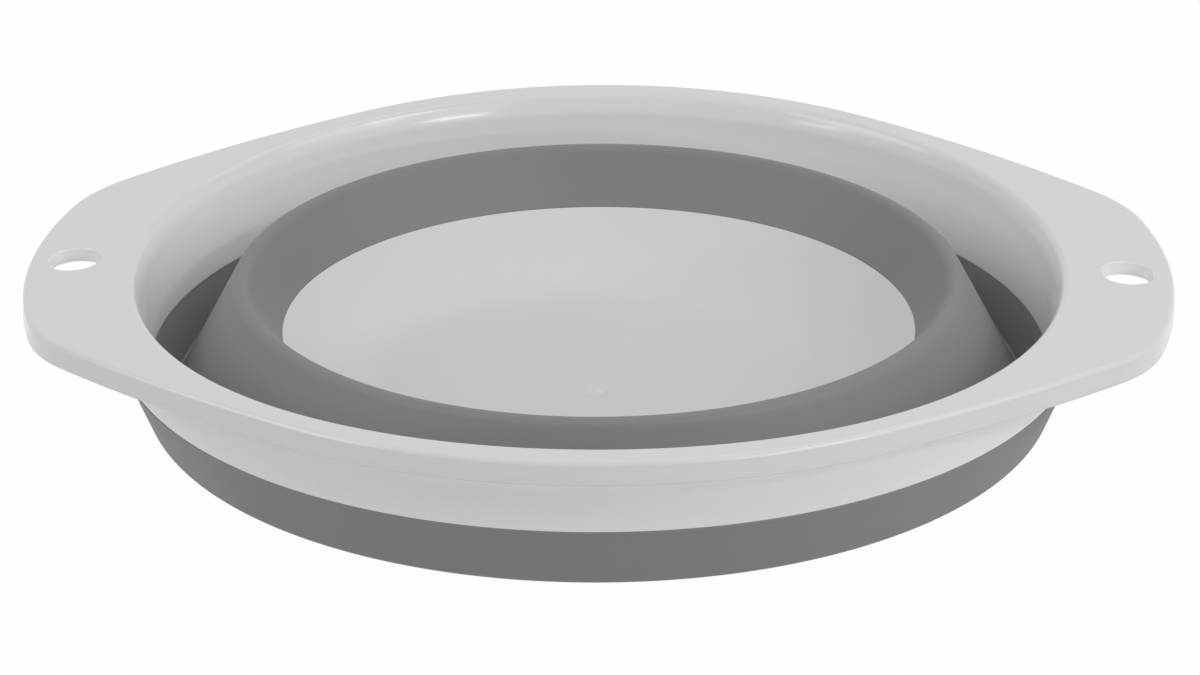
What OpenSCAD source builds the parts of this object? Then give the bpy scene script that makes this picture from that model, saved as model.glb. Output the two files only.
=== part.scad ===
// Collapsible kitchen bowl, folded flat: a rigid rim with two drooping ears,
// a soft wall folded in three zones, and a rigid dished base on a foot ring.
// Millimetres, +Z up, ears along X, origin on the table under the middle of the base.

/* [Bowl] */
// Inside diameter of the mouth, at the crease in the rigid wall
mouth_d = 272.6; // [271:0.2:274]
// Height of the bowl when it is folded flat
folded_h = 48.6; // [48:0.1:50]
// Height of the crease in the rigid wall
crease_h = 40.3; // [39.6:0.1:40.6]
// Height where the rigid wall ends and the soft wall starts, outside
wall_end_h = 25.5; // [24.8:0.1:26.2]
// Height where the rigid wall ends and the soft wall starts, inside
lip_h = 20.6; // [20:0.1:21]

/* [Rim] */
// Diameter of the round part of the rim
rim_d = 296; // [293:0.5:299]
// Height of the rim's outer edge
rim_edge_h = 7.2; // [6.4:0.1:8]
// Radius of the outer top edge
outer_roll = 1.4; // [1:0.1:2]
// Radius of the inner top edge
inner_roll = 2.2; // [1.6:0.1:2.4]
// Radius of the rim's flat face at its inner side, at the front and at the ears
land_in_r = 139.6; // [139.2:0.1:140.4]
// How far the inner side of the flat face moves out between the front and the ears
land_flare = 1.1; // [0:0.1:2]

/* [Ears] */
// Distance between the outer ends of the two ears
overall_l = 342; // [338:0.5:348]
// Radius of the rim's sweep down towards the ears
droop_r = 3260; // [2900:10:3700]
// Turn at which the side of an ear leaves the round rim, from the Y axis
ear_leave = 34; // [33:0.5:35.5]
// Radius of the long side of an ear
ear_side_r = 492; // [460:1:530]
// Radius of an ear's corner
ear_corner_r = 48.5; // [46:0.5:50]
// Radius of an ear's end
ear_end_r = 165.5; // [155:0.5:180]
// Thickness of an ear's plate
ear_t = 4.3; // [3.5:0.1:5]
// Thickness of the edge that hangs down round an ear
skirt_t = 2.6; // [2:0.1:2.8]

/* [Hanging holes] */
// Distance of each hole's centre from the middle of the bowl
hole_x = 157.4; // [156:0.2:159]
// Width of a hole, along the ear
hole_w = 15.6; // [12:0.1:16]
// Length of a hole, across the ear
hole_l = 18; // [17:0.1:20]

/* [Soft wall] */
// Thickness of the soft wall
soft_t = 2.2; // [1.8:0.1:2.4]
// Outer radius of each bend at the bottom of the fold
fold_r = 4; // [3.6:0.1:4.2]
// Height of the fold above the table
fold_clear = 5.6; // [5.2:0.1:6]
// Outer radius of the crest
crest_r = 3.2; // [3:0.1:3.4]
// Diameter of the crest
crest_d = 212.8; // [211:0.2:215]
// Height of the top of the crest
crest_h = 43.1; // [42.5:0.1:43.6]
// Lean of the folding zone from upright
fold_lean = 28; // [27:0.5:29]
// Gap between the folding zone and the crest above it
crest_gap = 0.3; // [0.2:0.05:0.5]

/* [Base] */
// Thickness of the base
base_t = 2.5; // [2:0.1:3]
// Diameter of the floor, at its corner with the side
floor_d = 151; // [146:0.5:154]
// Height of the floor's upper face in the middle
floor_h = 3.5; // [3.4:0.1:4]
// How far the floor rises from its middle to its corner
floor_rise = 4.5; // [3.5:0.1:5]
// Radius between the floor and the side of the base
floor_fillet = 10; // [6:0.5:12]
// Diameter of the base's upper edge
base_d = 189.6; // [188:0.2:191]
// Height of the base's upper edge
base_edge_h = 26.2; // [25.6:0.1:26.6]
// Length of the lap between the base and the soft wall
base_lap = 7; // [5:0.5:8]
// Diameter of the foot ring, at the middle of its width
foot_d = 136; // [130:1:140]
// Width of the foot ring
foot_w = 3; // [2:0.5:4]

/* [Hidden] */
$fn = 180;
rim_color = "#C8C6C4";
soft_color = "#7C7D7E";

// Rigid wall, each place as [radius, height]
mouth_r = mouth_d / 2;
outline_r = rim_d / 2;
wall_end_r = outline_r - 4.9;
wall_lean = 5.8;
lip_r = mouth_r - (crease_h - lip_h) * tan(wall_lean);
tongue_out_r = wall_end_r - 1.5;
tongue_in_r = lip_r + 1.5;
tongue_end_h = lip_h - 2.6;
tongue_lean = 22;
tongue_end_r = tongue_out_r - (wall_end_h - tongue_end_h) * tan(tongue_lean);
snug = 0.1;

// Ear outline: arcs that run into each other, first quarter
leave_angle = 90 - ear_leave;
side_c = (outline_r - ear_side_r) * [cos(leave_angle), sin(leave_angle)];
end_c = [overall_l / 2 - ear_end_r, 0];
corner_c = crossing(side_c, ear_side_r - ear_corner_r, end_c, ear_end_r - ear_corner_r);
side_stop = bearing(corner_c + ear_corner_r * unit(corner_c - side_c));
corner_stop = bearing(corner_c + ear_corner_r * unit(corner_c - end_c));

// Soft wall, each bend's centre as [radius, height]
bend_h = fold_clear + fold_r;
bend_in_r = fold_r - soft_t;
bend_a = [lip_r - bend_in_r, bend_h];
crest_c = [crest_d / 2, crest_h - crest_r];
crest_in_r = crest_r - soft_t;
shoulder = crest_c + crest_r * [cos(fold_lean), sin(fold_lean)];
groove_h = bend_h - bend_in_r * sin(fold_lean);
groove_r = shoulder.x + (shoulder.y - groove_h) * tan(fold_lean);
bend_b = [groove_r + bend_in_r * cos(fold_lean), bend_h];
split_h = crest_c.y - 0.9;

// Base and the soft wall above it
base_edge = [base_d / 2, base_edge_h];
base_corner = [floor_d / 2, floor_h + floor_rise];
to_crest = crest_c - base_edge;
rise_lean = atan2(to_crest.x, to_crest.y) - asin(crest_r / norm(to_crest));
floor_r = (floor_d * floor_d / 4 + floor_rise * floor_rise) / (2 * floor_rise);
floor_c = [0, floor_h + floor_r];
side_turn = bearing(base_edge - base_corner);
floor_turn = asin(base_corner.x / floor_r);
half_bend = (side_turn - floor_turn) / 2;
fillet_c = base_corner + floor_fillet / cos(half_bend) * [-sin(floor_turn + half_bend), cos(floor_turn + half_bend)];
foot_r = foot_d / 2;

// Bearings of the rim's stations: close together round the ears' corners
first_quarter = concat([for (a = [0:3:9]) a], [for (a = [11:1.5:24.5]) a], [for (a = [27:3.5:87]) a], [90]);
last = len(first_quarter) - 1;
second_quarter = [for (i = [1:last]) 180 - first_quarter[last - i]];
half_turn = concat(first_quarter, second_quarter);
stations = concat(half_turn, [for (i = [1:len(half_turn) - 2]) 180 + half_turn[i]]);

function unit(v) = v / norm(v);
function bearing(p) = atan2(p.y, p.x);
function quarter(a) = asin(abs(sin(a)));

// Crossing of two circles, the one nearer the X axis
function crossing(a, ra, b, rb) =
    let(d = norm(b - a), u = (b - a) / d, s = (ra * ra - rb * rb + d * d) / (2 * d))
    a + s * u + sqrt(ra * ra - s * s) * [u.y, -u.x];

// Distance from the middle out to a circle, along a bearing
function reach(c, r, a) =
    let(along = c.x * cos(a) + c.y * sin(a))
    along + sqrt(along * along - c * c + r * r);

// Distance from the middle out to the rim's edge, along a bearing
function outline(a) =
    let(q = quarter(a))
    q >= leave_angle ? outline_r :
    q >= side_stop ? reach(side_c, ear_side_r, q) :
    q >= corner_stop ? reach(corner_c, ear_corner_r, q) :
    reach(end_c, ear_end_r, q);

// Distance from the middle out to the inner side of the rim's flat face, along a bearing
function land_in(a) = land_in_r + land_flare * pow(sin(2 * a), 2);

// Height of the rim's upper face, sweeping down towards the ears
function top_h(r, a) =
    let(x = r * cos(a))
    folded_h - droop_r + sqrt(droop_r * droop_r - x * x);

// Height of the base's underside at a distance from the middle
function under_h(r) = floor_c.y - sqrt(pow(floor_r + base_t, 2) - r * r);

// Points along an arc
function arc(c, r, from, to, steps) =
    [for (i = [0:steps]) let(a = from + (to - from) * i / steps) c + r * [cos(a), sin(a)]];

// One section of the rim at a bearing: [radius, height] points, down from the mouth's crease
function rim_section(a) =
    let(
        edge = outline(a),
        spare = edge - outline_r,
        hollow = rim_edge_h - ear_t - 2.2 * max(0, 1 - spare / 9),
        roll_c = [land_in(a), top_h(land_in(a), a) - inner_roll],
        to_roll = roll_c - [mouth_r, crease_h],
        lean = atan2(to_roll.x, to_roll.y) - asin(inner_roll / norm(to_roll)),
        tip = top_h(edge, a),
        low = tip - rim_edge_h,
        skirt_in = edge - skirt_t,
        under = top_h(skirt_in, a) - rim_edge_h + hollow,
        root_r = wall_end_r + 0.3,
        root = top_h(root_r + 0.5, a) - rim_edge_h + hollow
    )
    concat(
        [[mouth_r, crease_h]],
        arc(roll_c, inner_roll, 180 - lean, 90, 4),
        arc([edge - outer_roll, tip - outer_roll], outer_roll, 90, 0, 3),
        [[edge, low + 0.5], [edge - 0.5, low], [skirt_in, low], [skirt_in - 0.4, under]],
        [[root_r + 0.5, root], [root_r, root - 0.5], [wall_end_r, wall_end_h], [tongue_out_r, wall_end_h]],
        [[tongue_end_r, tongue_end_h], [tongue_in_r, tongue_end_h], [tongue_in_r, lip_h], [lip_r, lip_h]]
    );

// A ring of such sections as one closed skin
module ring_skin(sections, bearings) {
    n = len(sections);
    m = len(sections[0]);
    places = [for (i = [0:n - 1]) for (p = sections[i]) [p.x * cos(bearings[i]), p.x * sin(bearings[i]), p.y]];
    skin = [
        for (i = [0:n - 1])
        for (j = [0:m - 1])
        let(a = i * m + j, b = i * m + (j + 1) % m, c = (i + 1) % n * m + (j + 1) % m, d = (i + 1) % n * m + j)
        each [[a, b, c], [a, c, d]]
    ];
    polyhedron(points = places, faces = skin);
}

module hanging_hole() {
    h = 30;
    straight = hole_l - hole_w;
    for (side = [-1, 1])
        translate([hole_x, side * straight / 2, folded_h - 25])
            cylinder(d = hole_w, h = h);
    translate([hole_x - hole_w / 2, -straight / 2, folded_h - 25])
        cube([hole_w, straight, h]);
}

module rim_frame() {
    color(rim_color)
        difference() {
            ring_skin([for (a = stations) rim_section(a)], stations);
            hanging_hole();
            mirror([1, 0, 0])
                hanging_hole();
        }
}

// Soft wall from the rigid wall down to the fold, and round the fold's two bends
module outer_wall() {
    from_bend = [wall_end_r, wall_end_h] - bend_a;
    leave = bearing(from_bend) - acos(fold_r / norm(from_bend));
    cut_out = bend_b + [-bend_in_r / cos(fold_lean), 0];
    cut_in = bend_b + [-fold_r / cos(fold_lean), 0];
    color(soft_color)
        rotate_extrude()
            polygon(concat(
                [[tongue_out_r + snug, wall_end_h], [wall_end_r, wall_end_h]],
                arc(bend_a, fold_r, leave, -90, 6),
                arc(bend_b, fold_r, -90, -180 + fold_lean, 6),
                [cut_in, cut_out],
                arc(bend_b, bend_in_r, -180 + fold_lean, -90, 4),
                arc(bend_a, bend_in_r, -90, 0, 4),
                [[lip_r, lip_h], [tongue_in_r - snug, lip_h], [tongue_in_r - snug, tongue_end_h - snug]],
                [[tongue_end_r + snug, tongue_end_h - snug]]
            ));
}

// Soft wall from the fold up to the crest; it turns inside out as the bowl opens
module folding_wall() {
    lean = (split_h - crest_gap - bend_h) * tan(fold_lean);
    high = split_h - crest_gap;
    out_r = bend_b.x - bend_in_r / cos(fold_lean);
    in_r = bend_b.x - fold_r / cos(fold_lean);
    color(soft_color)
        rotate_extrude()
            polygon([[in_r, bend_h], [out_r, bend_h], [out_r - lean, high], [in_r - lean, high]]);
}

// Soft wall over the crest and down to the base, lapped outside the base's edge
module inner_wall() {
    along = [cos(side_turn), sin(side_turn)];
    down = [sin(side_turn), -cos(side_turn)];
    rise = [sin(rise_lean), cos(rise_lean)];
    under = [cos(rise_lean), -sin(rise_lean)];
    below = crest_c.y - split_h;
    drop = below * tan(fold_lean);
    cut_out = crest_c + [crest_r / cos(fold_lean) + drop, -below];
    cut_in = crest_c + [crest_in_r / cos(fold_lean) + drop, -below];
    half = base_t / 2;
    color(soft_color)
        rotate_extrude()
            polygon(concat(
                [base_edge],
                arc(crest_c, crest_r, 180 - rise_lean, fold_lean, 8),
                [cut_out, cut_in],
                arc(crest_c, crest_in_r, fold_lean, 180 - rise_lean, 5),
                [base_edge + soft_t * under + 4 * rise],
                [base_edge + base_t * down],
                [base_edge + base_t * down - base_lap * along],
                [base_edge + half * down - base_lap * along],
                [base_edge + half * down]
            ));
}

// Rigid base: dished floor, sloped side, tongue inside the soft wall's lap, foot ring
module base_dish() {
    along = [cos(side_turn), sin(side_turn)];
    down = [sin(side_turn), -cos(side_turn)];
    half = base_t / 2;
    turn = 270 + floor_turn;
    foot_out = foot_r + foot_w / 2;
    foot_in = foot_r - foot_w / 2;
    under = floor_r + base_t;
    color(rim_color)
        rotate_extrude()
            polygon(concat(
                arc(floor_c, floor_r, 270, turn - asin(floor_fillet * tan(half_bend) / floor_r), 4),
                arc(fillet_c, floor_fillet, turn, 270 + side_turn, 5),
                [base_edge, base_edge + half * down],
                [base_edge + half * down - base_lap * along],
                [base_edge + base_t * down - base_lap * along],
                arc(fillet_c, floor_fillet + base_t, 270 + side_turn, turn, 5),
                [[foot_out, under_h(foot_out)], [foot_out, 0.4], [foot_out - 0.4, 0]],
                [[foot_in + 0.4, 0], [foot_in, 0.4], [foot_in, under_h(foot_in)]],
                arc(floor_c, under, 270 + asin((foot_in - 4) / under), 270, 4)
            ));
}

rim_frame();
outer_wall();
folding_wall();
inner_wall();
base_dish();
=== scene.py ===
from math import acos, asin, atan2, cos, degrees, pi, radians, sin, sqrt, tan

import bmesh
import bpy
from mathutils import Matrix, Vector


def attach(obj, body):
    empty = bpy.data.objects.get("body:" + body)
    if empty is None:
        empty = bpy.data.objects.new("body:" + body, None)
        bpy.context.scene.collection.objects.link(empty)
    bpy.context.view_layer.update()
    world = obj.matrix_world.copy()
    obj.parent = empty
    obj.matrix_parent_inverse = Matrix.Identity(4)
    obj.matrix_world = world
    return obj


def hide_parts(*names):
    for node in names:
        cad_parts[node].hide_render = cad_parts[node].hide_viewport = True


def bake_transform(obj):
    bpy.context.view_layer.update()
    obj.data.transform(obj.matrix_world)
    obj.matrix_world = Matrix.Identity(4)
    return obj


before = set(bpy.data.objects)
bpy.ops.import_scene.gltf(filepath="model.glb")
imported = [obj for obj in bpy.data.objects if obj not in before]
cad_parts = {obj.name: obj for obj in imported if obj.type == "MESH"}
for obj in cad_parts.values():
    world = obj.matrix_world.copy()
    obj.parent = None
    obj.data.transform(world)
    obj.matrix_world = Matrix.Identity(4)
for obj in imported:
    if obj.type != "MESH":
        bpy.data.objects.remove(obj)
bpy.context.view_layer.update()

MM = 0.001
TURN_STEPS = 360

# Rim
OUTLINE_R = 148.0
FOLDED_H = 48.6
WALL_END_R = 143.1
WALL_END_H = 25.5
LIP_R = 134.3
LIP_H = 18.2
LIP = Vector((LIP_R, LIP_H))
TONGUE_IN_R = LIP_R + 1.5
TONGUE_OUT_R = 141.6
TONGUE_END = Vector((137.68, 15.8))
RIM_EDGE_H = 7.2
OUTER_ROLL = 1.4
INNER_ROLL = 2.5
BAND_R = 19.0
BAND_TOP = 25.0
LAND_IN_R = 140.0
LAND_FLARE = 1.1
DROOP_R = 3260.0
PARTING_DROP = 4.65
SKIRT_T = 2.6
ROUND_EXTRA_T = 2.2
EXTRA_T_RUN = 9.0

# Ears and their hanging holes
EAR_REACH = 171.0
EAR_LEAVE = 34.0
EAR_SIDE_R = 492.0
EAR_CORNER_R = 48.5
EAR_END_R = 165.5
EAR_T = 4.3
HOLE_X = 157.4
HOLE_W = 15.6
HOLE_L = 18.0
HOLE_ROUND = 0.5

# Soft wall
SOFT_T = 2.2
FOLD_R = 4.0
FOLD_IN_R = FOLD_R - SOFT_T
BEND_H = 9.6
BEND_A = Vector((LIP_R - FOLD_IN_R, BEND_H))
CREST_R = 3.2
CREST_IN_R = CREST_R - SOFT_T
CREST = Vector((106.4, 39.9))
FOLD_LEAN = 28.0
GROOVE_TIP_R = 0.7
SPLIT_H = 39.1

# Base
BASE_T = 2.5
BASE_EDGE = Vector((94.8, 26.2))
BASE_CORNER = Vector((75.5, 8.0))
FLOOR_H = 3.5
FLOOR_FILLET = 26.0
BASE_LAP = 7.0
FOOT_R = 68.0
FOOT_W = 3.0
GATE_R = 2.15
GATE_DEPTH = 0.45

# Soft edges where two mouldings meet
SEAM_ROUND = 0.3

# How far folds shade each other, for the fill light painted into the materials
SHADE_REACH = 35.0

# Studio, in metres, degrees and watts
LAMP_DISTANCE = 1.6
LAMP_AIM_H = 0.03
LAMPS = {
    # azimuth from the front, elevation, width, height, power
    "right softbox": (75, 35, 1.00, 1.00, 4.8),
    "right front softbox": (45, 35, 1.00, 1.00, 3.0),
    "left softbox": (-75, 35, 1.00, 1.00, 6.8),
    "rear right softbox": (150, 58, 1.00, 1.00, 2.5),
    "right strip": (38, 12, 0.44, 0.06, 1.9),
    "left strip": (-55, 16, 0.30, 0.08, 0.6),
    "side strip": (58, 35, 0.50, 0.06, 1.8),
}


def turned(angle, length=1.0):
    """A direction from its angle in degrees, at a length."""
    return length * Vector((cos(radians(angle)), sin(radians(angle))))


def bearing_of(place):
    return degrees(atan2(place.y, place.x))


def arc(centre, radius, start, stop, steps):
    """Points along an arc, with its angles in degrees."""
    return [centre + turned(start + (stop - start) * i / steps, radius) for i in range(steps + 1)]


def between(start, stop, rows):
    """Points spaced along a straight line, without its two ends."""
    return [start.lerp(stop, i / rows) for i in range(1, rows)]


# ---------------------------------------------------------------- rim shape


def crossing(a, a_radius, b, b_radius):
    """The crossing of two circles, the one nearer the X axis."""
    apart = b - a
    along = apart.normalized()
    reach = (a_radius ** 2 - b_radius ** 2 + apart.length_squared) / (2 * apart.length)
    return a + reach * along + sqrt(a_radius ** 2 - reach ** 2) * Vector((along.y, -along.x))


LEAVE_ANGLE = 90 - EAR_LEAVE
SIDE_C = turned(LEAVE_ANGLE, OUTLINE_R - EAR_SIDE_R)
END_C = Vector((EAR_REACH - EAR_END_R, 0))
CORNER_C = crossing(SIDE_C, EAR_SIDE_R - EAR_CORNER_R, END_C, EAR_END_R - EAR_CORNER_R)
SIDE_STOP = bearing_of(CORNER_C + EAR_CORNER_R * (CORNER_C - SIDE_C).normalized())
CORNER_STOP = bearing_of(CORNER_C + EAR_CORNER_R * (CORNER_C - END_C).normalized())


def circle_reach(centre, radius, bearing):
    """Distance from the middle out to a circle, along a bearing."""
    along = centre.dot(turned(bearing))
    return along + sqrt(along ** 2 - centre.length_squared + radius ** 2)


def outline(bearing):
    """Distance from the middle out to the rim's edge, along a bearing."""
    quarter = degrees(asin(abs(sin(radians(bearing)))))
    if quarter >= LEAVE_ANGLE:
        return OUTLINE_R
    if quarter >= SIDE_STOP:
        return circle_reach(SIDE_C, EAR_SIDE_R, quarter)
    if quarter >= CORNER_STOP:
        return circle_reach(CORNER_C, EAR_CORNER_R, quarter)
    return circle_reach(END_C, EAR_END_R, quarter)


def top_h(radius, bearing):
    """Height of the rim's upper face, sweeping down towards the ears."""
    return FOLDED_H - DROOP_R + sqrt(DROOP_R ** 2 - (radius * cos(radians(bearing))) ** 2)


def rim_section(bearing):
    """One section of the rim as (radius, height) points, up from the bend inside the mouth."""
    edge = outline(bearing)
    spare = edge - OUTLINE_R
    hollow = RIM_EDGE_H - EAR_T - ROUND_EXTRA_T * max(0, 1 - spare / EXTRA_T_RUN)
    land_r = LAND_IN_R + LAND_FLARE * sin(radians(2 * bearing)) ** 2
    roll_c = Vector((land_r, top_h(land_r, bearing) - INNER_ROLL))
    band_c = roll_c - turned(180 - BAND_TOP, BAND_R - INNER_ROLL)
    to_band = band_c - LIP
    lean = degrees(atan2(to_band.x, to_band.y) - asin(BAND_R / to_band.length))
    tip = top_h(edge, bearing)
    low = tip - RIM_EDGE_H
    parting = tip - PARTING_DROP
    face = edge - 0.1
    outer_c = Vector((face - OUTER_ROLL, tip - OUTER_ROLL))
    land = [Vector((land_r, top_h(land_r, bearing))), outer_c + Vector((0, OUTER_ROLL))]
    skirt_in = edge - SKIRT_T
    under = top_h(skirt_in, bearing) - RIM_EDGE_H + hollow
    root_r = WALL_END_R + 0.3
    root = top_h(root_r + 0.5, bearing) - RIM_EDGE_H + hollow
    wall_end = Vector((WALL_END_R, WALL_END_H))
    return (
        arc(band_c, BAND_R, 180 - lean, 180 - BAND_TOP, 9)
        + arc(roll_c, INNER_ROLL, 180 - BAND_TOP, 90, 7)[1:]
        + [Vector((p.x, top_h(p.x, bearing))) for p in between(land[0], land[1], 8)]
        + arc(outer_c, OUTER_ROLL, 90, 0, 7)
        + [Vector((face, parting + 0.9)), Vector((edge, parting + 0.06))]
        + [Vector((edge - 0.07, parting - 0.06)), Vector((edge - 0.05, low + 0.9))]
        + arc(Vector((edge - 0.55, low + 0.5)), 0.5, 0, -90, 3)
        + arc(Vector((skirt_in + 0.3, low + 0.3)), 0.3, -90, -180, 2)
        + [Vector((skirt_in - 0.1, under - 0.15)), Vector((skirt_in - 0.25, under))]
        + between(Vector((skirt_in - 0.25, under)), Vector((root_r + 0.4, root)), 4)
        + arc(Vector((root_r + 0.4, root - 0.4)), 0.4, 90, 180, 4)
        + [wall_end + Vector((0.02, SEAM_ROUND + 0.4))]
        + arc(wall_end + Vector((-SEAM_ROUND, SEAM_ROUND)), SEAM_ROUND, 0, -90, 3)
        + [Vector((TONGUE_OUT_R, WALL_END_H)), TONGUE_END.copy()]
        + [Vector((TONGUE_IN_R, TONGUE_END.y)), Vector((TONGUE_IN_R, LIP_H))]
        + arc(LIP + Vector((SEAM_ROUND, SEAM_ROUND)), SEAM_ROUND, 270, 180, 3)
        + [LIP + Vector((0.04, 1.0))]
    )


# ---------------------------------------------------------------- mesh tools


def spin_section(section, closed=True):
    """A section of (radius, height) points spun into a whole ring or a dish."""
    bm = bmesh.new()
    points = [bm.verts.new((p.x * MM, 0, p.y * MM)) for p in section]
    followers = points[1:] + (points[:1] if closed else [])
    edges = [bm.edges.new(pair) for pair in zip(points, followers)]
    bmesh.ops.spin(
        bm, geom=points + edges, cent=(0, 0, 0), axis=(0, 0, 1),
        angle=2 * pi, steps=TURN_STEPS, use_merge=True,
    )
    bmesh.ops.remove_doubles(bm, verts=bm.verts, dist=0.002 * MM)
    bmesh.ops.recalc_face_normals(bm, faces=bm.faces)
    return bm


def finished(name, bm, material, sharp_angle=32):
    """The object made from a bmesh, smooth apart from its sharp edges."""
    mesh = bpy.data.meshes.new(name)
    bm.to_mesh(mesh)
    bm.free()
    piece = bpy.data.objects.new(name, mesh)
    bpy.context.scene.collection.objects.link(piece)
    mesh.materials.append(material)
    mesh.shade_smooth()
    mesh.set_sharp_from_angle(angle=radians(sharp_angle))
    even = piece.modifiers.new("even shading", "WEIGHTED_NORMAL")
    even.keep_sharp = True
    return piece


def shape_rim(bm, start_section):
    """Moves each point of the spun rim to its place in the section at its own bearing."""
    sections = {}
    order = {}
    for vert in bm.verts:
        bearing = round(degrees(atan2(vert.co.y, vert.co.x)), 3)
        if bearing not in sections:
            sections[bearing] = rim_section(bearing)
        spot = (round(vert.co.xy.length / MM, 3), round(vert.co.z / MM, 3))
        if spot not in order:
            away = [(p - Vector(spot)).length for p in start_section]
            order[spot] = away.index(min(away))
        place = sections[bearing][order[spot]]
        flat = turned(bearing, place.x * MM)
        vert.co = (flat.x, flat.y, place.y * MM)


def hole_cutter(side):
    """A slotted plug with flared ends, which leaves a hanging hole with rounded edges."""
    slope = side * asin(HOLE_X / DROOP_R)
    levels = [(-12.0, 0.3), (-EAR_T, 0.3), (-EAR_T + 0.3, 0.0)]
    levels += [
        (-HOLE_ROUND * (1 - sin(t)), HOLE_ROUND * (1 - cos(t)))
        for t in (radians(a) for a in (0, 18, 36, 54, 72))
    ]
    levels.append((4.0, levels[-1][1] + 0.3))
    bm = bmesh.new()
    ring = bmesh.ops.create_circle(bm, segments=48, radius=HOLE_W / 2 * MM)["verts"]
    stretch(ring)
    bmesh.ops.translate(bm, verts=ring, vec=(0, 0, levels[0][0] * MM))
    start = list(bm.edges)
    edges = start
    for (low, inset), (high, next_inset) in zip(levels, levels[1:]):
        risen = bmesh.ops.extrude_edge_only(bm, edges=edges)["geom"]
        edges = [part for part in risen if isinstance(part, bmesh.types.BMEdge)]
        for vert in (part for part in risen if isinstance(part, bmesh.types.BMVert)):
            grow(vert, next_inset - inset)
            vert.co.z += (high - low) * MM
    bmesh.ops.contextual_create(bm, geom=start)
    bmesh.ops.contextual_create(bm, geom=edges)
    bmesh.ops.recalc_face_normals(bm, faces=bm.faces)
    place = Matrix.Translation((side * HOLE_X * MM, 0, top_h(HOLE_X, 0) * MM))
    bmesh.ops.transform(bm, matrix=place @ Matrix.Rotation(slope, 4, "Y"), verts=bm.verts)
    mesh = bpy.data.meshes.new("hole cutter")
    bm.to_mesh(mesh)
    bm.free()
    cutter = bpy.data.objects.new("hole cutter", mesh)
    bpy.context.scene.collection.objects.link(cutter)
    return cutter


def stretch(ring):
    """Pulls the two halves of a round outline apart along Y."""
    half = (HOLE_L - HOLE_W) / 2 * MM
    for vert in ring:
        vert.co.y += half if vert.co.y > 0 else -half


def grow(vert, amount):
    """Moves a point of the slotted outline straight out from its centre line."""
    half = (HOLE_L - HOLE_W) / 2 * MM
    middle = Vector((0, max(-half, min(half, vert.co.y))))
    out = (Vector((vert.co.x, vert.co.y)) - middle).normalized() * amount * MM
    vert.co.x += out.x
    vert.co.y += out.y


def cut(piece, cutters):
    """Cuts the cutters out of a piece for good."""
    for cutter in cutters:
        knife = piece.modifiers.new("hanging hole", "BOOLEAN")
        knife.operation = "DIFFERENCE"
        knife.solver = "EXACT"
        knife.object = cutter
    bpy.context.view_layer.update()
    depsgraph = bpy.context.evaluated_depsgraph_get()
    piece.data = bpy.data.meshes.new_from_object(piece.evaluated_get(depsgraph))
    piece.modifiers.clear()
    for cutter in cutters:
        bpy.data.objects.remove(cutter)


# ---------------------------------------------------------------- materials


def moulded_grain():
    """Group: the fine grain and slow tone changes of a moulded surface."""
    group = bpy.data.node_groups.new("moulded grain", "ShaderNodeTree")
    for name in ("Grains per Metre", "Clouds per Metre", "Tone Change", "Polish", "Polish Change"):
        group.interface.new_socket(name, in_out="INPUT", socket_type="NodeSocketFloat")
    for name in ("Tone", "Roughness", "Height"):
        group.interface.new_socket(name, in_out="OUTPUT", socket_type="NodeSocketFloat")
    nodes, link = group.nodes, group.links.new
    given = nodes.new("NodeGroupInput")
    result = nodes.new("NodeGroupOutput")
    place = nodes.new("ShaderNodeTexCoord")
    fine = nodes.new("ShaderNodeTexNoise")
    fine.inputs["Detail"].default_value = 3.0
    slow = nodes.new("ShaderNodeTexNoise")
    slow.inputs["Detail"].default_value = 4.0
    link(place.outputs["Object"], fine.inputs["Vector"])
    link(place.outputs["Object"], slow.inputs["Vector"])
    link(given.outputs["Grains per Metre"], fine.inputs["Scale"])
    link(given.outputs["Clouds per Metre"], slow.inputs["Scale"])

    def spread(source, base, amount):
        """base plus the source's swing about one half, times amount."""
        centred = nodes.new("ShaderNodeMath")
        centred.operation = "SUBTRACT"
        centred.inputs[1].default_value = 0.5
        link(source, centred.inputs[0])
        scaled = nodes.new("ShaderNodeMath")
        scaled.operation = "MULTIPLY_ADD"
        link(centred.outputs[0], scaled.inputs[0])
        link(amount, scaled.inputs[1])
        if isinstance(base, float):
            scaled.inputs[2].default_value = base
        else:
            link(base, scaled.inputs[2])
        return scaled.outputs[0]

    link(spread(slow.outputs["Fac"], 1.0, given.outputs["Tone Change"]), result.inputs["Tone"])
    rough = spread(slow.outputs["Fac"], given.outputs["Polish"], given.outputs["Polish Change"])
    link(rough, result.inputs["Roughness"])
    link(fine.outputs["Fac"], result.inputs["Height"])
    return group


GRAIN = moulded_grain()


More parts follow.
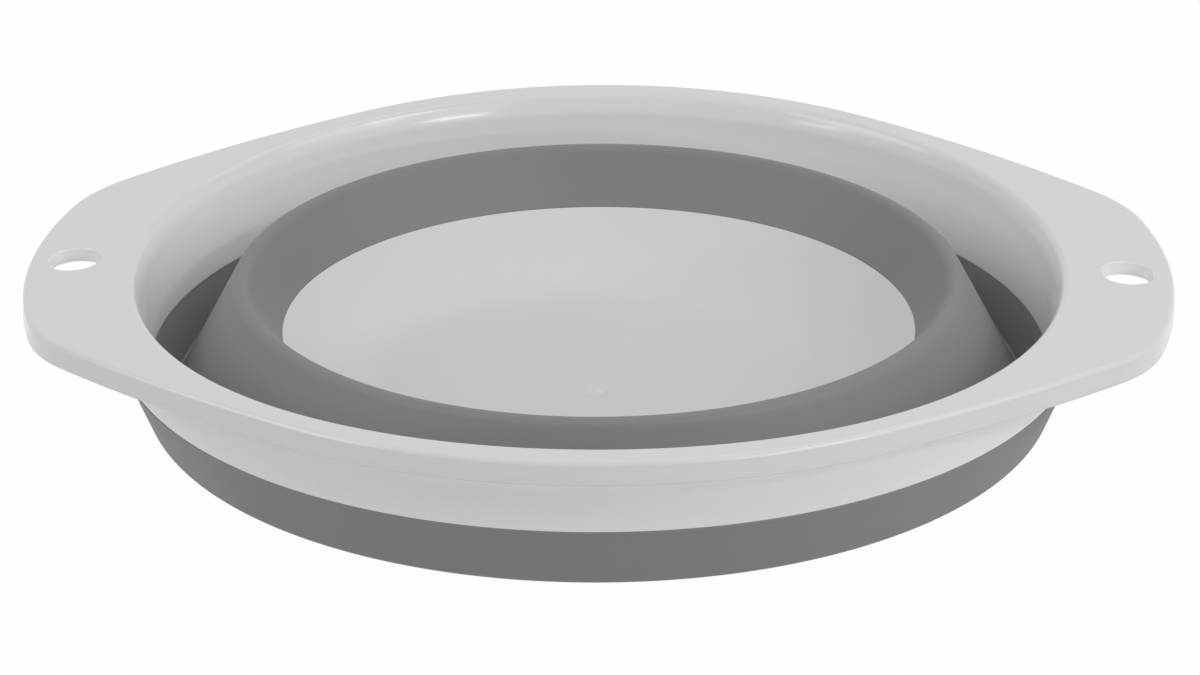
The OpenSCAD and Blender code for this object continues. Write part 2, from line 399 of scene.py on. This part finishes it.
def moulded(name, colour, painted_fill_lift, grains, clouds, tone_change, polish, polish_change, depth):
    """A moulded material: its colour, grain, how far its tone and polish drift, and the fill light
    painted into the places its folds shade.
    """
    material = bpy.data.materials.new(name)
    material.use_nodes = True
    nodes, link = material.node_tree.nodes, material.node_tree.links.new
    shader = nodes["Principled BSDF"]
    grain = nodes.new("ShaderNodeGroup")
    grain.node_tree = GRAIN
    grain.inputs["Grains per Metre"].default_value = grains
    grain.inputs["Clouds per Metre"].default_value = clouds
    grain.inputs["Tone Change"].default_value = tone_change
    grain.inputs["Polish"].default_value = polish
    grain.inputs["Polish Change"].default_value = polish_change
    # Painted fill light: the colour is made lighter where the folds shade the surface, so the shaded
    # hollows look lit
    shade = nodes.new("ShaderNodeAmbientOcclusion")
    shade.samples = 8
    shade.inputs["Distance"].default_value = SHADE_REACH * MM
    fill = nodes.new("ShaderNodeMapRange")
    fill.inputs["To Min"].default_value = 1 + painted_fill_lift
    fill.inputs["To Max"].default_value = 1.0
    link(shade.outputs["AO"], fill.inputs["Value"])
    tone = nodes.new("ShaderNodeMath")
    tone.operation = "MULTIPLY"
    link(grain.outputs["Tone"], tone.inputs[0])
    link(fill.outputs["Result"], tone.inputs[1])
    tint = nodes.new("ShaderNodeMix")
    tint.data_type = "RGBA"
    tint.blend_type = "MULTIPLY"
    tint.inputs["Factor"].default_value = 1.0
    tint.inputs["A"].default_value = (*colour, 1)
    link(tone.outputs[0], tint.inputs["B"])
    bump = nodes.new("ShaderNodeBump")
    bump.inputs["Distance"].default_value = depth * MM
    link(grain.outputs["Height"], bump.inputs["Height"])
    link(tint.outputs["Result"], shader.inputs["Base Color"])
    link(grain.outputs["Roughness"], shader.inputs["Roughness"])
    link(bump.outputs["Normal"], shader.inputs["Normal"])
    return material


# Each material's painted fill light lifts its colour in the shaded folds by the amount given
rigid_plastic = moulded(
    "satin light plastic", colour=(0.590, 0.578, 0.566), painted_fill_lift=1.1, grains=1400, clouds=22,
    tone_change=0.03, polish=0.17, polish_change=0.04, depth=0.012,
)
rigid_plastic.node_tree.nodes["Principled BSDF"].inputs["IOR"].default_value = 1.56
base_plastic = moulded(
    "fine matte light plastic", colour=(0.580, 0.568, 0.556), painted_fill_lift=0.6, grains=1400, clouds=22,
    tone_change=0.03, polish=0.55, polish_change=0.06, depth=0.012,
)
soft_rubber = moulded(
    "matte soft-touch wall", colour=(0.173, 0.173, 0.173), painted_fill_lift=0.3, grains=2200, clouds=35,
    tone_change=0.06, polish=0.58, polish_change=0.10, depth=0.03,
)

# ---------------------------------------------------------------- pieces

# Rim: rigid wall, band, flat face and ears in one moulding
start_section = rim_section(90)
rim_mesh = spin_section(start_section)
shape_rim(rim_mesh, start_section)
rim = finished("rim", rim_mesh, rigid_plastic)
cut(rim, [hole_cutter(1), hole_cutter(-1)])
rim.data.set_sharp_from_angle(angle=radians(32))
rim.modifiers.new("even shading", "WEIGHTED_NORMAL").keep_sharp = True
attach(rim, "rim")
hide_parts("rim_frame")

# Outer soft wall: from the rigid wall down and round the fold's two bends
wall_end = Vector((WALL_END_R, WALL_END_H))
from_bend = wall_end - BEND_A
leave = bearing_of(from_bend) - degrees(acos(FOLD_R / from_bend.length))
shoulder = CREST + turned(FOLD_LEAN, CREST_R)
groove_h = BEND_H - FOLD_IN_R * sin(radians(FOLD_LEAN))
groove_r = shoulder.x + (shoulder.y - groove_h) * tan(radians(FOLD_LEAN))
BEND_B = Vector((groove_r + FOLD_IN_R * cos(radians(FOLD_LEAN)), BEND_H))
cut_out = BEND_B - Vector((FOLD_IN_R / cos(radians(FOLD_LEAN)), 0))
cut_in = BEND_B - Vector((FOLD_R / cos(radians(FOLD_LEAN)), 0))
tip_drop = FOLD_IN_R - GROOVE_TIP_R
tip_run = tip_drop * tan(radians(FOLD_LEAN)) + GROOVE_TIP_R / cos(radians(FOLD_LEAN))
tip_c = cut_out + Vector((tip_run, -tip_drop))
to_lip = LIP - tip_c
groove_turn = bearing_of(to_lip) - degrees(acos(GROOVE_TIP_R / to_lip.length))
outer_start = BEND_A + turned(leave, FOLD_R)
outer_section = (
    [Vector((TONGUE_OUT_R + 0.05, WALL_END_H))]
    + arc(wall_end + Vector((-SEAM_ROUND, -SEAM_ROUND)), SEAM_ROUND, 90, 0, 3)
    + between(wall_end + Vector((-0.05, -SEAM_ROUND)), outer_start, 4)
    + arc(BEND_A, FOLD_R, leave, -90, 14)
    + arc(BEND_B, FOLD_R, -90, -180 + FOLD_LEAN, 12)
    + [cut_in, cut_out]
    + arc(tip_c, GROOVE_TIP_R, -180 + FOLD_LEAN, groove_turn, 10)
    + between(tip_c + turned(groove_turn, GROOVE_TIP_R), LIP - Vector((0, SEAM_ROUND)), 5)
    + arc(LIP + Vector((SEAM_ROUND, -SEAM_ROUND)), SEAM_ROUND, 180, 90, 3)
    + [Vector((TONGUE_IN_R - 0.05, LIP_H)), Vector((TONGUE_IN_R - 0.05, TONGUE_END.y - 0.05))]
    + [TONGUE_END + Vector((0.05, -0.05))]
)
outer_wall = finished("outer_soft_wall", spin_section(outer_section), soft_rubber)
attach(outer_wall, "rim")
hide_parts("outer_wall")

# Folding zone: the soft band leaning up from the lower bend, in its folded shape
FOLD_ROWS = 26
drop = tan(radians(FOLD_LEAN))
lean_run = Vector((-(SPLIT_H - BEND_H) * drop, SPLIT_H - BEND_H))
fold_section = (
    [cut_in, cut_out]
    + between(cut_out, cut_out + lean_run, FOLD_ROWS)
    + [cut_out + lean_run, cut_in + lean_run]
    + between(cut_in + lean_run, cut_in, FOLD_ROWS)
)
folding_wall = finished("folding_wall_zone", spin_section(fold_section), soft_rubber)
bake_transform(folding_wall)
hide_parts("folding_wall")

# Inner soft wall: over the crest and down to the base, lapped outside its edge
side = (BASE_EDGE - BASE_CORNER).normalized()
side_turn = bearing_of(side)
below_side = Vector((side.y, -side.x))
to_crest = CREST - BASE_EDGE
rise_lean = degrees(atan2(to_crest.x, to_crest.y) - asin(CREST_R / to_crest.length))
rise = turned(90 - rise_lean)
below_rise = Vector((rise.y, -rise.x))
under_crest = CREST.y - SPLIT_H
crest_out = CREST + Vector((CREST_R / cos(radians(FOLD_LEAN)) + under_crest * drop, -under_crest))
crest_in = CREST + Vector((CREST_IN_R / cos(radians(FOLD_LEAN)) + under_crest * drop, -under_crest))
lap_mid = BASE_EDGE + BASE_T / 2 * below_side
lap_out = BASE_EDGE + BASE_T * below_side
inner_section = (
    [BASE_EDGE + 0.06 * rise]
    + between(BASE_EDGE + 0.06 * rise, CREST + turned(180 - rise_lean, CREST_R), 4)
    + arc(CREST, CREST_R, 180 - rise_lean, FOLD_LEAN, 18)
    + [crest_out, crest_in]
    + arc(CREST, CREST_IN_R, FOLD_LEAN, 180 - rise_lean, 8)
    + [BASE_EDGE + SOFT_T * below_rise + 4 * rise, lap_out]
    + [lap_out - BASE_LAP * side, lap_mid - BASE_LAP * side, lap_mid]
)
inner_wall = finished("inner_soft_wall", spin_section(inner_section), soft_rubber)
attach(inner_wall, "base")
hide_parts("inner_wall")

# Base: dished floor with its gate mark, sloped side and foot ring
floor_rise = BASE_CORNER.y - FLOOR_H
floor_r = (BASE_CORNER.x ** 2 + floor_rise ** 2) / (2 * floor_rise)
floor_c = Vector((0, FLOOR_H + floor_r))
floor_turn = degrees(asin(BASE_CORNER.x / floor_r))
half_bend = (side_turn - floor_turn) / 2
fillet_c = BASE_CORNER + FLOOR_FILLET / cos(radians(half_bend)) * turned(90 + floor_turn + half_bend)
floor_stop = floor_turn - degrees(asin(FLOOR_FILLET * tan(radians(half_bend)) / floor_r))
gate_turn = degrees(asin((GATE_R + 0.2) / floor_r))


def under_h(radius):
    """Height of the base's underside at a distance from the middle."""
    return floor_c.y - sqrt((floor_r + BASE_T) ** 2 - radius ** 2)


foot_out = FOOT_R + FOOT_W / 2
foot_in = FOOT_R - FOOT_W / 2
base_section = (
    [Vector((0, FLOOR_H - GATE_DEPTH + 0.35)), Vector((0.35, FLOOR_H - GATE_DEPTH + 0.3))]
    + [Vector((0.5, FLOOR_H - GATE_DEPTH)), Vector((GATE_R - 0.35, FLOOR_H - GATE_DEPTH))]
    + [Vector((GATE_R - 0.1, FLOOR_H - GATE_DEPTH + 0.12)), Vector((GATE_R, FLOOR_H - 0.2))]
    + [Vector((GATE_R + 0.06, FLOOR_H - 0.06))]
    + arc(floor_c, floor_r, 270 + gate_turn, 270 + floor_stop, 16)
    + arc(fillet_c, FLOOR_FILLET, 270 + floor_turn, 270 + side_turn, 14)
    + between(fillet_c + turned(270 + side_turn, FLOOR_FILLET), BASE_EDGE, 5)
    + [BASE_EDGE - 0.06 * side, lap_mid - 0.04 * below_side]
    + [lap_mid - BASE_LAP * side - 0.04 * below_side, lap_out - (BASE_LAP + 0.05) * side]
    + arc(fillet_c, FLOOR_FILLET + BASE_T, 270 + side_turn, 270 + floor_turn, 12)
    + [Vector((foot_out + 0.5, under_h(foot_out))), Vector((foot_out, under_h(foot_out) - 0.5))]
    + arc(Vector((foot_out - 0.5, 0.5)), 0.5, 0, -90, 4)
    + arc(Vector((foot_in + 0.5, 0.5)), 0.5, -90, -180, 4)
    + [Vector((foot_in, under_h(foot_in) - 0.5)), Vector((foot_in - 0.5, under_h(foot_in)))]
    + arc(floor_c, floor_r + BASE_T, 270 + floor_turn * 0.8, 270, 8)
)
base = finished("base", spin_section(base_section, closed=False), base_plastic)
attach(base, "base")
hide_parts("base_dish")

# ---------------------------------------------------------------- studio


def ray_is_seen(nodes, link):
    """1 for the camera and for what gloss and glass see, 0 for light on the object."""
    path = nodes.new("ShaderNodeLightPath")
    total = path.outputs["Is Camera Ray"]
    for name in ("Is Glossy Ray", "Is Transmission Ray"):
        add = nodes.new("ShaderNodeMath")
        add.operation = "MAXIMUM"
        link(total, add.inputs[0])
        link(path.outputs[name], add.inputs[1])
        total = add.outputs[0]
    return total


def studio_floor():
    bm = bmesh.new()
    below = Matrix.Translation((0, 0, -0.1 * MM))
    bmesh.ops.create_grid(bm, x_segments=1, y_segments=1, size=6.0, matrix=below)
    mesh = bpy.data.meshes.new("floor")
    bm.to_mesh(mesh)
    bm.free()
    floor = bpy.data.objects.new("floor", mesh)
    bpy.context.scene.collection.objects.link(floor)
    material = bpy.data.materials.new("white floor")
    material.use_nodes = True
    nodes, link = material.node_tree.nodes, material.node_tree.links.new
    matte = nodes["Principled BSDF"]
    matte.inputs["Base Color"].default_value = (0.73, 0.73, 0.73, 1)
    matte.inputs["Roughness"].default_value = 0.9
    white = nodes.new("ShaderNodeEmission")
    mix = nodes.new("ShaderNodeMixShader")
    share = nodes.new("ShaderNodeMath")
    share.operation = "MULTIPLY"
    share.inputs[1].default_value = 0.975
    link(ray_is_seen(nodes, link), share.inputs[0])
    link(share.outputs[0], mix.inputs[0])
    link(matte.outputs[0], mix.inputs[1])
    link(white.outputs[0], mix.inputs[2])
    link(mix.outputs[0], nodes["Material Output"].inputs["Surface"])
    mesh.materials.append(material)


def studio_world():
    world = bpy.data.worlds.new("studio")
    bpy.context.scene.world = world
    world.use_nodes = True
    nodes, link = world.node_tree.nodes, world.node_tree.links.new
    dome = nodes["Background"]
    dome.inputs["Color"].default_value = (1, 1, 1, 1)
    dome.inputs["Strength"].default_value = 0.56
    seen = nodes.new("ShaderNodeBackground")
    seen.inputs["Color"].default_value = (1, 1, 1, 1)
    mix = nodes.new("ShaderNodeMixShader")
    link(ray_is_seen(nodes, link), mix.inputs[0])
    link(dome.outputs[0], mix.inputs[1])
    link(seen.outputs[0], mix.inputs[2])
    link(mix.outputs[0], nodes["World Output"].inputs["Surface"])


def softbox(name, azimuth, elevation, width, height, power):
    """A soft lamp aimed at the bowl. Azimuth is from the front towards the right ear."""
    data = bpy.data.lights.new(name, "AREA")
    data.shape = "RECTANGLE"
    data.size = width
    data.size_y = height
    data.energy = power
    lamp = bpy.data.objects.new(name, data)
    bpy.context.scene.collection.objects.link(lamp)
    flat = cos(radians(elevation))
    away = Vector((sin(radians(azimuth)) * flat, -cos(radians(azimuth)) * flat, sin(radians(elevation))))
    lamp.location = away * LAMP_DISTANCE + Vector((0, 0, LAMP_AIM_H))
    lamp.rotation_euler = away.to_track_quat("Z", "Y").to_euler()


def studio_camera():
    yaw, pitch, roll = 0.0448, 0.4063, -0.0041
    forward = Vector((-sin(yaw) * cos(pitch), cos(yaw) * cos(pitch), -sin(pitch)))
    right = Vector((cos(yaw), sin(yaw), 0))
    up = right.cross(forward)
    turn = Matrix((right, up, -forward)).transposed() @ Matrix.Rotation(roll, 3, "Z")
    data = bpy.data.cameras.new("camera")
    data.lens = 135
    data.sensor_width = 36
    camera = bpy.data.objects.new("camera", data)
    bpy.context.scene.collection.objects.link(camera)
    camera.matrix_world = Matrix.Translation((0.0560, -1.24128, 0.5561)) @ turn.to_4x4()
    bpy.context.scene.camera = camera


studio_camera()
studio_floor()
studio_world()
for lamp_name, setting in LAMPS.items():
    softbox(lamp_name, *setting)
bpy.context.scene.view_settings.view_transform = "Standard"

bpy.context.view_layer.update()
